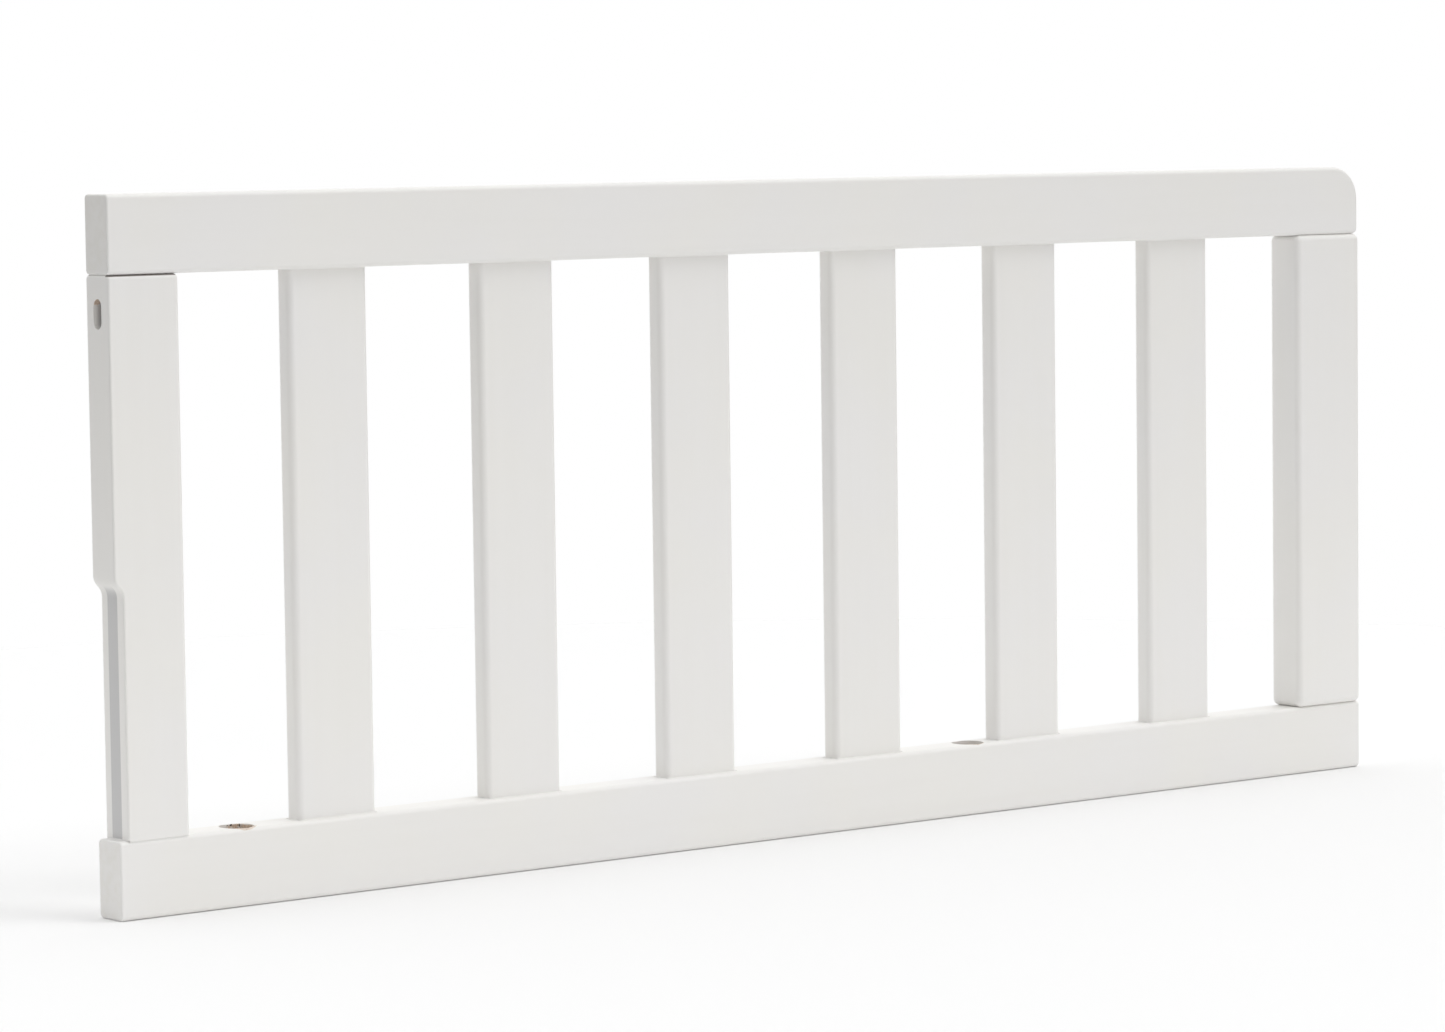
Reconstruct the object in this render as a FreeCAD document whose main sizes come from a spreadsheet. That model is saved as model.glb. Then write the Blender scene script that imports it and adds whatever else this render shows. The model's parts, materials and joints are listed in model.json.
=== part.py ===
"""Guardrail for a toddler bed: a glued wooden panel of two rails, two stiles and upright slats.

Frame: +X runs along the rails towards the plain end, the front faces -Y and +Z is up.
The origin is at the middle of the panel's length and thickness, on the surface it stands on.
All lengths are in millimetres.
"""
import FreeCAD, Part
import math
import os
import Sketcher
from FreeCAD import Vector

SIZES = {
    # the panel as a whole
    "rail_length": 721,            # both rails, end to end
    "panel_height": 298.5,         # from the floor to the top of the upper rail
    "rail_height": 33,             # both rails are cut from the same stock
    "rail_thickness": 17.5,
    "rail_edge_radius": 2,         # routed along the long edges
    "end_edge_radius": 1,          # sanded round the cut ends
    "upper_corner_radius": 16,     # top rail, plain end, upper corner
    "lower_corner_radius": 3,      # top rail, plain end, lower corner
    # left stile, the narrow one that stands against the bed's post
    "left_stile_width": 34,
    "stile_edge_radius": 2,        # inner edges and upper end
    "step_inset": 4,               # the lower half of the outer edge is set in by this much
    "step_height": 9,              # of the S-shaped step
    "step_base": 100,              # from the stile's lower end to the foot of the step
    "slot_width": 6,
    "slot_length": 12.5,
    "slot_depth": 8,
    "slot_below_top": 16,          # from the stile's upper end down to the slot's middle
    # right stile, wider and thicker than the rails
    "right_stile_width": 43,
    "right_stile_thickness": 20,
    "right_stile_radius": 3,       # on all twelve edges
    # slats
    "slat_count": 6,
    "slat_width": 40,
    "outer_gap_less": 2,           # gaps beside the stiles are this much narrower than the rest
    "slat_thickness": 10,
    "slat_edge_radius": 3,
    "tenon_length": 12,            # how far each slat end goes into its rail
    "glue_gap": 0.1,               # on each side of a tenon
    "end_gap": 0.5,                # beyond the end of a tenon or dowel
    # dowels between stiles and rails
    "dowel_diameter": 8,
    "dowel_length": 40,
    "dowel_chamfer": 1,
    "dowel_gap": 0.05,             # radial room for glue
    # bolt holes down through the bottom rail, the left one midway between stile and slat
    "slats_between_bolts": 4,
    "bolt_to_slat": 14.3,          # from the right hole's middle to the edge of the next slat
    "bolt_hole_diameter": 7,
    "bolt_head_depth": 18,
    "bolt_head_wall": 1.25,        # wood in front of and behind each counterbore
    # brads driven from the back through each tenon, set and filled over
    "brad_length": 11,
    "brad_diameter": 1.2,
    "brad_head_diameter": 2,
    "brad_head_thickness": 0.6,
    "brad_gap": 0.05,              # room round a brad and beyond its point
    "brad_cover": 0.8,             # filler over each head
}

# Formulas made of the sizes above, whose names stand in braces. Every X is from the panel's middle.
STILE_LENGTH = "({panel_height} - 2 * {rail_height})"
TOP_RAIL_BASE = "({panel_height} - {rail_height})"
LEFT_END = "(-{rail_length} / 2)"
LEFT_STILE_INNER = f"({LEFT_END} + {{left_stile_width}})"
RIGHT_STILE_MIDDLE = "(({rail_length} - {right_stile_width}) / 2)"
CLEAR_WIDTH = "({rail_length} - {left_stile_width} - {right_stile_width})"
SLAT_PITCH = f"(({CLEAR_WIDTH} + {{slat_width}} + 2 * {{outer_gap_less}}) / ({{slat_count}} + 1))"
SLATS_SPAN = f"({SLAT_PITCH} * ({{slat_count}} - 1))"
OUTER_GAP = f"({SLAT_PITCH} - {{slat_width}} - {{outer_gap_less}})"
FIRST_SLAT = f"({LEFT_STILE_INNER} + {OUTER_GAP} + {{slat_width}} / 2)"
SLAT_LENGTH = f"({STILE_LENGTH} + 2 * {{tenon_length}})"
MORTISE_DEPTH = "({tenon_length} + {end_gap})"
DOWEL_BORE = "({dowel_diameter} + 2 * {dowel_gap})"
DOWEL_BORE_DEPTH = "({dowel_length} / 2 + {end_gap})"
BRAD_BACK = "({rail_thickness} / 2 - {brad_cover})"
BRAD_BORE = "({brad_diameter} + 2 * {brad_gap})"
BRAD_HEAD_BORE = "({brad_head_diameter} + 2 * {brad_gap})"
BRAD_REACH = "({brad_length} + {brad_gap})"

LEFT_BOLT = f"({LEFT_STILE_INNER} + {OUTER_GAP} / 2)"
RIGHT_BOLT = (
    f"({FIRST_SLAT} + {{slats_between_bolts}} * {SLAT_PITCH} - {{slat_width}} / 2 - {{bolt_to_slat}})"
)
BOLT_HEAD_BORE = "({rail_thickness} - 2 * {bolt_head_wall})"

# Middle and spacing of each stile's dowels, a quarter of the stile's solid width from either side
DOWEL_PAIRS = {
    "left": (
        f"({LEFT_END} + ({{left_stile_width}} + {{slot_depth}}) / 2)",
        "(({left_stile_width} - {slot_depth}) / 2)",
    ),
    "right": (RIGHT_STILE_MIDDLE, "({right_stile_width} / 2)"),
}

ALIASES = {name: "Sizes." + name for name in SIZES}
NEAR = 0.01                        # how far an edge may lie from where it is looked for
SMALLEST_CUT = 0.5                 # in cubic millimetres; a cut that takes less has missed
START, END, CENTRE = 1, 2, 3       # the sketcher's numbers for points of a curve
ORIGIN = (-1, START)
ACROSS, UPRIGHT = -1, -2           # the sketch's own two axes
OUT_OF_SKETCH = Vector(0, 0, 1)
FACING_FORWARD = FreeCAD.Rotation(Vector(1, 0, 0), 90)

doc = FreeCAD.newDocument("guardrail")


def fill_sheet():
    """Writes the driving sizes to the spreadsheet, each in a cell with its name as alias."""
    sheet = doc.addObject("Spreadsheet::Sheet", "Sizes")
    for row, (name, number) in enumerate(SIZES.items(), 1):
        sheet.set(f"A{row}", name)
        sheet.set(f"B{row}", str(number))
        sheet.setAlias(f"B{row}", name)
    doc.recompute()


def bind(item, name, formula):
    """Binds a property to a formula whose braces hold names of SIZES."""
    item.setExpression(name, formula.format_map(ALIASES))


def place(item, right="0", back="0", up="0"):
    """Binds where an object stands."""
    bind(item, "Placement.Base.x", right)
    bind(item, "Placement.Base.y", back)
    bind(item, "Placement.Base.z", up)


def new_body(label, right="0", up="0"):
    """An empty body that stands to the right of and above the origin."""
    body = doc.addObject("PartDesign::Body", label)
    body.Label = label
    place(body, right=right, up=up)
    return body


# ---------------------------------------------------------------- sketches
# Curves start out roughly sized and placed: their constraints bring them to size.

def new_sketch(body, name, role, right="0", up="0", out="0"):
    """A sketch on an origin plane of its body, moved within that plane and out of it."""
    plane = next(item for item in body.Origin.OriginFeatures if item.Role == role)
    sketch = body.newObject("Sketcher::SketchObject", name)
    sketch.AttachmentSupport = [(plane, "")]
    sketch.MapMode = "FlatFace"
    bind(sketch, "AttachmentOffset.Base.x", right)
    bind(sketch, "AttachmentOffset.Base.y", up)
    bind(sketch, "AttachmentOffset.Base.z", out)
    return sketch


def join(sketch, kind, *ends):
    """Adds a relation, such as Coincident or Tangent, between points or curves."""
    sketch.addConstraint(Sketcher.Constraint(kind, *ends))


def dimension(sketch, formula, kind, *ends):
    """Adds a dimension and binds it to a formula."""
    number = sketch.addConstraint(Sketcher.Constraint(kind, *ends, 1.0))
    bind(sketch, f"Constraints[{number}]", formula)


def draw_line(sketch, start, end):
    return sketch.addGeometry(Part.LineSegment(Vector(*start), Vector(*end)))


def draw_arc(sketch, centre, radius, begin, finish):
    circle = Part.Circle(Vector(*centre), OUT_OF_SKETCH, radius)
    return sketch.addGeometry(Part.ArcOfCircle(circle, begin, finish))


def draw_rectangle(sketch, width, height):
    """A rectangle centred on the sketch's origin."""
    corners = [(-1, -1), (1, -1), (1, 1), (-1, 1)]
    sides = [draw_line(sketch, corners[i], corners[(i + 1) % 4]) for i in range(4)]
    for side, following in zip(sides, sides[1:] + sides[:1]):
        join(sketch, "Coincident", side, END, following, START)
    bottom, right, top, left = sides
    join(sketch, "Horizontal", bottom)
    join(sketch, "Horizontal", top)
    join(sketch, "Vertical", right)
    join(sketch, "Vertical", left)
    join(sketch, "Symmetric", bottom, START, top, START, *ORIGIN)
    dimension(sketch, width, "DistanceX", bottom, START, bottom, END)
    dimension(sketch, height, "DistanceY", right, START, right, END)


def draw_circle(sketch, diameter):
    """A circle centred on the sketch's origin."""
    circle = sketch.addGeometry(Part.Circle(Vector(0, 0, 0), OUT_OF_SKETCH, 1))
    join(sketch, "Coincident", circle, CENTRE, *ORIGIN)
    dimension(sketch, diameter, "Diameter", circle)


def draw_circle_pair(sketch, diameter, spacing, axis):
    """Two equal circles on one of the sketch's axes, either side of its origin."""
    step = Vector(10, 0, 0) if axis == ACROSS else Vector(0, 10, 0)
    first = sketch.addGeometry(Part.Circle(-step, OUT_OF_SKETCH, 1))
    second = sketch.addGeometry(Part.Circle(step, OUT_OF_SKETCH, 1))
    join(sketch, "PointOnObject", first, CENTRE, axis)
    join(sketch, "Symmetric", first, CENTRE, second, CENTRE, *ORIGIN)
    join(sketch, "Equal", first, second)
    dimension(sketch, spacing, "Distance", first, CENTRE, second, CENTRE)
    dimension(sketch, diameter, "Diameter", first)


def draw_upright_slot(sketch, width, length):
    """A slot with round ends, centred on the sketch's origin."""
    reach = 5
    top = draw_arc(sketch, (0, reach), 1, 0, math.pi)
    bottom = draw_arc(sketch, (0, -reach), 1, math.pi, 2 * math.pi)
    right = draw_line(sketch, (1, -reach), (1, reach))
    left = draw_line(sketch, (-1, reach), (-1, -reach))
    join(sketch, "Tangent", right, END, top, START)
    join(sketch, "Tangent", top, END, left, START)
    join(sketch, "Tangent", left, END, bottom, START)
    join(sketch, "Tangent", bottom, END, right, START)
    join(sketch, "Equal", top, bottom)
    join(sketch, "Vertical", right)
    join(sketch, "Symmetric", top, CENTRE, bottom, CENTRE, *ORIGIN)
    dimension(sketch, width, "Diameter", top)
    dimension(sketch, f"{length} - {width}", "Distance", top, CENTRE, bottom, CENTRE)


def draw_stepped_outline(sketch):
    """The left stile seen from the front, its lower outer corner set in from the origin.

    The outer edge steps in by an S of two equal arcs, upright at both ends. An S that is d wide
    and h high has arcs of radius (d * d + h * h) / (4 * d), and each turns by 2 * atan(d / h).
    """
    inset, height, base = SIZES["step_inset"], SIZES["step_height"], SIZES["step_base"]
    width = SIZES["left_stile_width"]
    length = SIZES["panel_height"] - 2 * SIZES["rail_height"]
    radius = (inset * inset + height * height) / (4 * inset)
    turn = 2 * math.atan(inset / height)

    foot = draw_line(sketch, (inset, 0), (width, 0))
    inner = draw_line(sketch, (width, 0), (width, length))
    head = draw_line(sketch, (width, length), (0, length))
    upper = draw_line(sketch, (0, length), (0, base + height))
    convex = draw_arc(sketch, (radius, base + height), radius, math.pi, math.pi + turn)
    concave = draw_arc(sketch, (inset - radius, base), radius, 0, turn)
    lower = draw_line(sketch, (inset, base), (inset, 0))

    join(sketch, "Coincident", foot, END, inner, START)
    join(sketch, "Coincident", inner, END, head, START)
    join(sketch, "Coincident", head, END, upper, START)
    join(sketch, "Tangent", upper, END, convex, START)
    join(sketch, "Tangent", convex, END, concave, END)
    join(sketch, "Tangent", concave, START, lower, START)
    join(sketch, "Coincident", lower, END, foot, START)
    join(sketch, "Equal", convex, concave)
    join(sketch, "Horizontal", head)
    join(sketch, "Vertical", inner)
    join(sketch, "Vertical", upper)
    join(sketch, "Vertical", lower)
    join(sketch, "PointOnObject", foot, START, ACROSS)
    join(sketch, "PointOnObject", foot, END, ACROSS)
    join(sketch, "PointOnObject", upper, START, UPRIGHT)
    dimension(sketch, "{step_inset}", "DistanceX", *ORIGIN, foot, START)
    dimension(sketch, "{left_stile_width}", "DistanceX", *ORIGIN, foot, END)
    dimension(sketch, STILE_LENGTH, "DistanceY", inner, START, inner, END)
    dimension(sketch, "{step_base}", "DistanceY", foot, START, concave, START)
    dimension(sketch, "{step_height}", "DistanceY", concave, START, convex, START)


# ---------------------------------------------------------------- features

def pad(body, sketch, name, length, midplane=False):
    """Pads a sketch out along its normal, or half each way."""
    feature = body.newObject("PartDesign::Pad", name)
    feature.Profile = sketch
    feature.Midplane = midplane
    bind(feature, "Length", length)
    doc.recompute()


def cut(body, sketch, name, depth, along_normal=False):
    """Pockets a sketch against its normal, or along it, and checks that wood came away."""
    before = body.Tip.Shape.Volume
    feature = body.newObject("PartDesign::Pocket", name)
    feature.Profile = sketch
    feature.Reversed = along_normal
    bind(feature, "Length", depth)
    doc.recompute()
    if before - feature.Shape.Volume < SMALLEST_CUT:
        raise RuntimeError(f"{name} cuts nothing from {body.Label}")
    return feature


def repeat_for_slats(body, features, sketch, name):
    """Repeats the first slat's features along the sketch's own X, once for each slat."""
    before = body.Tip.Shape.Volume
    pattern = body.newObject("PartDesign::LinearPattern", name)
    pattern.Originals = features
    pattern.Direction = (sketch, ["H_Axis"])
    bind(pattern, "Length", SLATS_SPAN)
    bind(pattern, "Occurrences", "{slat_count}")
    body.Tip = pattern
    doc.recompute()
    if before - pattern.Shape.Volume < SMALLEST_CUT:
        raise RuntimeError(f"{name} repeats nothing on {body.Label}")


def dress_edges(body, kind, name, size_name, formula, wanted):
    """Fillets or chamfers the edges whose bounding box passes the test wanted(edge, whole)."""
    base = body.Tip
    whole = base.Shape.BoundBox
    edges = enumerate(base.Shape.Edges, 1)
    picked = [f"Edge{number}" for number, edge in edges if wanted(edge.BoundBox, whole)]
    feature = body.newObject(kind, name)
    feature.Base = (base, picked)
    bind(feature, size_name, formula)
    doc.recompute()


def fillet(body, name, radius, wanted):
    dress_edges(body, "PartDesign::Fillet", name, "Radius", radius, wanted)


def at_left(edge, whole):
    return edge.XMax < whole.XMin + NEAR


def at_right(edge, whole):
    return edge.XMin > whole.XMax - NEAR


def at_bottom(edge, whole):
    return edge.ZMax < whole.ZMin + NEAR


def at_top(edge, whole):
    return edge.ZMin > whole.ZMax - NEAR


def on_front_or_back(edge, whole):
    return edge.YMax < whole.YMin + NEAR or edge.YMin > whole.YMax - NEAR


# ---------------------------------------------------------------- rails

def new_rail(label, up):
    """A plain board centred on the body's Z axis and standing on its XY plane."""
    body = new_body(label, up=up)
    board = new_sketch(body, f"{label}_board", "XZ_Plane", up="{rail_height} / 2")
    draw_rectangle(board, "{rail_length}", "{rail_height}")
    pad(body, board, f"{label}_blank", "{rail_thickness}", midplane=True)
    return body


def cut_mortises(body, face, upwards):
    """One mortise for each slat, from the face that looks at the slats."""
    name = f"{body.Label}_mortise_mouth"
    mouth = new_sketch(body, name, "XY_Plane", right=FIRST_SLAT, out=face)
    draw_rectangle(mouth, "{slat_width} + 2 * {glue_gap}", "{slat_thickness} + 2 * {glue_gap}")
    mortise = cut(body, mouth, f"{body.Label}_mortise", MORTISE_DEPTH, upwards)
    repeat_for_slats(body, [mortise], mouth, f"{body.Label}_mortises")


def cut_brad_bores(body, height):
    """From each mortise back towards the rear face, room for a set brad under its filler."""
    bores = {"shank": (BRAD_BORE, BRAD_REACH), "head": (BRAD_HEAD_BORE, "{brad_head_thickness}")}
    features = []
    for part_name, (diameter, depth) in bores.items():
        name = f"{body.Label}_brad_{part_name}"
        end = new_sketch(body, f"{name}_circle", "XZ_Plane", FIRST_SLAT, height, f"-{BRAD_BACK}")
        draw_circle(end, diameter)
        features.append(cut(body, end, name, depth, along_normal=True))
    repeat_for_slats(body, features, end, f"{body.Label}_brad_bores")


def cut_dowel_bores(body, face, upwards):
    """A pair of dowel bores under or over each stile."""
    for side, (middle, spacing) in DOWEL_PAIRS.items():
        name = f"{body.Label}_{side}_dowels"
        mouths = new_sketch(body, f"{name}_circles", "XY_Plane", right=middle, out=face)
        draw_circle_pair(mouths, DOWEL_BORE, spacing, ACROSS)
        cut(body, mouths, name, DOWEL_BORE_DEPTH, upwards)


def make_top_rail():
    """Top rail, square at the stepped stile's end and rounded off at the plain end."""
    body = new_rail("top_rail", up=TOP_RAIL_BASE)
    fillet(body, "upper_corner", "{upper_corner_radius}",
           lambda edge, whole: at_right(edge, whole) and at_top(edge, whole))
    fillet(body, "lower_corner", "{lower_corner_radius}",
           lambda edge, whole: at_right(edge, whole) and at_bottom(edge, whole))
    fillet(body, "top_rail_edges", "{rail_edge_radius}",
           lambda edge, whole: on_front_or_back(edge, whole) and not at_left(edge, whole))
    fillet(body, "top_rail_end", "{end_edge_radius}", at_left)
    cut_mortises(body, face="0", upwards=True)
    cut_dowel_bores(body, face="0", upwards=True)
    cut_brad_bores(body, height="{tenon_length} / 2")
    return body


def make_bottom_rail():
    """Bottom rail, square at both ends, with two counterbored bolt holes straight down."""
    body = new_rail("bottom_rail", up="0")
    fillet(body, "bottom_rail_edges", "{rail_edge_radius}",
           lambda edge, whole: on_front_or_back(edge, whole)
           and not at_left(edge, whole) and not at_right(edge, whole))
    fillet(body, "bottom_rail_ends", "{end_edge_radius}",
           lambda edge, whole: at_left(edge, whole) or at_right(edge, whole))
    cut_mortises(body, face="{rail_height}", upwards=False)
    cut_dowel_bores(body, face="{rail_height}", upwards=False)
    cut_brad_bores(body, height="{rail_height} - {tenon_length} / 2")
    middle = f"({LEFT_BOLT} + {RIGHT_BOLT}) / 2"
    spacing = f"{RIGHT_BOLT} - {LEFT_BOLT}"
    bores = {
        "bolt_heads": (BOLT_HEAD_BORE, "{bolt_head_depth}"),
        "bolt_holes": ("{bolt_hole_diameter}", "{rail_height}"),
    }
    for name, (diameter, depth) in bores.items():
        circles = new_sketch(body, f"{name}_circles", "XY_Plane", middle, out="{rail_height}")
        draw_circle_pair(circles, diameter, spacing, ACROSS)
        cut(body, circles, name, depth)
    return body


# ---------------------------------------------------------------- stiles

def cut_stile_dowel_bores(body, middle, spacing):
    """A pair of dowel bores in each end of a stile."""
    ends = {"lower": ("0", True), "upper": (STILE_LENGTH, False)}
    for end, (face, upwards) in ends.items():
        name = f"{body.Label}_{end}_dowels"
        mouths = new_sketch(body, f"{name}_circles", "XY_Plane", right=middle, out=face)
        draw_circle_pair(mouths, DOWEL_BORE, spacing, ACROSS)
        cut(body, mouths, name, DOWEL_BORE_DEPTH, upwards)


def make_left_stile():
    """Narrow stile whose outer edge steps in below and has a blind slot for a locating pin."""
    body = new_body("left_stile", right=LEFT_END, up="{rail_height}")
    outline = new_sketch(body, "left_stile_outline", "XZ_Plane")
    draw_stepped_outline(outline)
    pad(body, outline, "left_stile_blank", "{rail_thickness}", midplane=True)

    def is_inner_or_upper(edge, whole):
        return (at_right(edge, whole) or at_top(edge, whole)) and not (
            at_left(edge, whole) or at_bottom(edge, whole))

    def is_outer(edge, whole):
        along_step = edge.XMax < whole.XMin + SIZES["step_inset"] + NEAR
        return along_step and not at_bottom(edge, whole) and not (
            edge.ZLength < NEAR and edge.ZMax < whole.ZMax - NEAR)

    fillet(body, "left_stile_inner_edges", "{stile_edge_radius}", is_inner_or_upper)
    fillet(body, "left_stile_outer_edges", "{end_edge_radius}", is_outer)
    mouth = new_sketch(body, "slot_mouth", "YZ_Plane", up=f"{STILE_LENGTH} - {{slot_below_top}}")
    draw_upright_slot(mouth, "{slot_width}", "{slot_length}")
    cut(body, mouth, "slot", "{slot_depth}", along_normal=True)
    middle, spacing = DOWEL_PAIRS["left"]
    cut_stile_dowel_bores(body, f"{middle} - {LEFT_END}", spacing)
    return body


def make_right_stile():
    """Wide stile, proud of the rails in front and behind, rounded on every edge."""
    middle, spacing = DOWEL_PAIRS["right"]
    body = new_body("right_stile", right=middle, up="{rail_height}")
    section = new_sketch(body, "right_stile_section", "XY_Plane")
    draw_rectangle(section, "{right_stile_width}", "{right_stile_thickness}")
    pad(body, section, "right_stile_blank", STILE_LENGTH)
    fillet(body, "right_stile_edges", "{right_stile_radius}", lambda edge, whole: True)
    cut_stile_dowel_bores(body, "0", spacing)
    return body


# ---------------------------------------------------------------- slats and fastenings

def slat_middle(index):
    return f"{FIRST_SLAT} + {index} * {SLAT_PITCH}"


def make_slat(index):
    """One slat with its long edges rounded, which runs full width into both mortises."""
    label = f"slat_{index + 1}"
    body = new_body(label, right=slat_middle(index), up="{rail_height} - {tenon_length}")
    section = new_sketch(body, f"{label}_section", "XY_Plane")
    draw_rectangle(section, "{slat_width}", "{slat_thickness}")
    pad(body, section, f"{label}_blank", SLAT_LENGTH)
    fillet(body, f"{label}_edges", "{slat_edge_radius}",
           lambda edge, whole: edge.ZLength > whole.ZLength - NEAR)
    back = "{slat_thickness} / 2"
    points = new_sketch(body, f"{label}_brad_circles", "XZ_Plane",
                        up=f"{SLAT_LENGTH} / 2", out=f"-{back}")
    draw_circle_pair(points, BRAD_BORE, f"{STILE_LENGTH} + {{tenon_length}}", UPRIGHT)
    reach = f"{BRAD_REACH} - {BRAD_BACK} + {back}"
    cut(body, points, f"{label}_brad_bores", reach, along_normal=True)
    return body


def make_dowel(label, right, joint_height):
    """A chamfered dowel, half in the rail and half in the stile."""
    body = new_body(label, right=right, up=f"{joint_height} - {{dowel_length}} / 2")
    end = new_sketch(body, f"{label}_end", "XY_Plane")
    draw_circle(end, "{dowel_diameter}")
    pad(body, end, f"{label}_peg", "{dowel_length}")
    dress_edges(body, "PartDesign::Chamfer", f"{label}_chamfers", "Size", "{dowel_chamfer}",
                lambda edge, whole: at_bottom(edge, whole) or at_top(edge, whole))
    return body


def make_dowels():
    """Two dowels at each of the four joints between a rail and a stile."""
    joints = {"bottom": "{rail_height}", "top": TOP_RAIL_BASE}
    dowels = []
    for level, height in joints.items():
        for side, (middle, spacing) in DOWEL_PAIRS.items():
            for number, sign in enumerate("-+", 1):
                label = f"dowel_{level}_{side}_{number}"
                right = f"{middle} {sign} {spacing} / 2"
                dowels.append(make_dowel(label, right, height))
    return dowels


def make_pin(name, diameter, length, right, up):
    """A cylinder that points forwards from the level where the brads' heads are set."""
    pin = doc.addObject("Part::Cylinder", name)
    pin.Placement = FreeCAD.Placement(Vector(0, 0, 0), FACING_FORWARD)
    bind(pin, "Radius", f"{diameter} / 2")
    bind(pin, "Height", length)
    place(pin, right=right, back=BRAD_BACK, up=up)
    return pin


def make_brads(label, up):
    """The brads of one rail, one through each tenon."""
    brads = []
    for index in range(SIZES["slat_count"]):
        name = f"{label}_{index + 1}"
        right = slat_middle(index)
        shank = make_pin(f"{name}_shank", "{brad_diameter}", "{brad_length}", right, up)
        head = make_pin(f"{name}_head", "{brad_head_diameter}", "{brad_head_thickness}", right, up)
        brad = doc.addObject("Part::Fuse", name)
        brad.Base = shank
        brad.Tool = head
        brads.append(brad)
    group = doc.addObject("Part::Compound", label)
    group.Label = label
    group.Links = brads
    return group


# ---------------------------------------------------------------- the whole

def check(sub_parts):
    """Stops if any object failed or any sub-part has no sound shape."""
    for item in doc.Objects:
        if {"Invalid", "Error"} & set(item.State):
            raise RuntimeError(f"{item.Label} failed: {item.State}")
    for item in sub_parts:
        if item.Shape.isNull() or not item.Shape.isValid():
            raise RuntimeError(f"{item.Label} has no sound shape")


def write(sub_parts):
    os.makedirs("parts", exist_ok=True)
    for item in sub_parts:
        item.Shape.exportStep(f"parts/{item.Label}.step")
        print(f"{item.Label}: {item.Shape.Volume:.1f} mm3")


def main():
    fill_sheet()
    sub_parts = [make_top_rail(), make_bottom_rail(), make_left_stile(), make_right_stile()]
    sub_parts += [make_slat(index) for index in range(SIZES["slat_count"])]
    sub_parts += make_dowels()
    sub_parts.append(make_brads("bottom_rail_brads", up="{rail_height} - {tenon_length} / 2"))
    sub_parts.append(make_brads("top_rail_brads", up=f"{TOP_RAIL_BASE} + {{tenon_length}} / 2"))
    doc.recompute()
    check(sub_parts)
    write(sub_parts)


main()
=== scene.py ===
"""Looks of a painted wooden guardrail for a toddler bed, on a pale studio floor.

The frame: +X along the rails towards the plain end, the front faces -Y, +Z up, in metres.
"""

import json
import math

import bpy
import numpy as np
from mathutils import Matrix, Vector


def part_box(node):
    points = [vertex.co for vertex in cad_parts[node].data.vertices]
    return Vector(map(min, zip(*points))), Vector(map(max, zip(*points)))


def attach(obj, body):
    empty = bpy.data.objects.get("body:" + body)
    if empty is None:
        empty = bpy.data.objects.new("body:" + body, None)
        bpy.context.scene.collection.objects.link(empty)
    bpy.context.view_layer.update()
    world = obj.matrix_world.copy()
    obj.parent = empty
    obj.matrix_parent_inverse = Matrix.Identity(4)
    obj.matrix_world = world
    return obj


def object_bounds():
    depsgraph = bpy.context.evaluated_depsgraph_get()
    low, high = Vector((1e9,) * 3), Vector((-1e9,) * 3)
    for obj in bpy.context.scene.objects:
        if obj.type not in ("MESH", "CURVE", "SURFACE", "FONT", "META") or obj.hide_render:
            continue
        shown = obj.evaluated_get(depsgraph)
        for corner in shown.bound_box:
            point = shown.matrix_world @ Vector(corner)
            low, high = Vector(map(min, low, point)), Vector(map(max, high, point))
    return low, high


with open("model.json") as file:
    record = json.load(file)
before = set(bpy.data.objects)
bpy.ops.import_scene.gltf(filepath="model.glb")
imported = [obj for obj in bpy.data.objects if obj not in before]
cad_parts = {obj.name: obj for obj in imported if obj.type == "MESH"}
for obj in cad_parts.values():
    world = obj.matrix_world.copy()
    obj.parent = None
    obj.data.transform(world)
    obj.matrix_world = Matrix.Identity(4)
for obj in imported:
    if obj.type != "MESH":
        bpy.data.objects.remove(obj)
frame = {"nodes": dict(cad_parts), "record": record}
cad_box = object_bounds()

MM = 0.001
SLATS = tuple(name for name in frame["nodes"] if name.startswith("slat_"))
DOWELS = tuple(name for name in frame["nodes"] if name.startswith("dowel_"))
BRADS = tuple(name for name in frame["nodes"] if name.endswith("_brads"))
MOUNTS = {mount["name"]: Vector(mount["pos_m"]) for mount in frame["record"]["mounts"]}

# the object's sizes that its boxes and mounts don't give
BORE_RADIUS = 7.5 * MM             # of the counterbores in the bottom rail
SLOT_HALF_LENGTH = 6.25 * MM
SLAT_CORNER = 3.0 * MM
TORN_SIDE = math.radians(8)        # which way the left bore's splinters stand, round from +X

# the studio: each bank of light has its azimuth, elevation and spread in degrees, and its strength
FLOOR_WHITE = 0.93
FLOOR_RADIUS = 1.0
LIGHT_BANKS = [
    ("broad_front", 0, 22, 100, 1.47),
    ("broad_back", 180, 50, 130, 2.70),
    ("right_low", 80, 25, 40, 0.42),
    ("key_front_right", 45, 55, 30, 0.60),
]


# ---------------------------------------------------------------- node helpers

def add_node(tree, kind, **settings):
    """A node of that kind; a setting names one of its properties, or an input with _ for a space."""
    node = tree.nodes.new(kind)
    for name, value in settings.items():
        if hasattr(node, name):
            setattr(node, name, value)
        else:
            node.inputs[name.replace("_", " ")].default_value = value
    return node


def feed(tree, target, value):
    """Links a socket into target, or sets target's own value."""
    if isinstance(value, bpy.types.NodeSocket):
        tree.links.new(value, target)
    else:
        target.default_value = value


def calculate(tree, operation, *values):
    """One step of arithmetic on numbers."""
    node = add_node(tree, "ShaderNodeMath", operation=operation)
    for target, value in zip(node.inputs, values):
        feed(tree, target, value)
    return node.outputs[0]


def combine(tree, operation, *values):
    """One step of arithmetic on vectors."""
    node = add_node(tree, "ShaderNodeVectorMath", operation=operation)
    for target, value in zip(node.inputs, values):
        feed(tree, target, value)
    return node.outputs["Value" if operation in ("LENGTH", "DISTANCE", "DOT_PRODUCT") else "Vector"]


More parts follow.
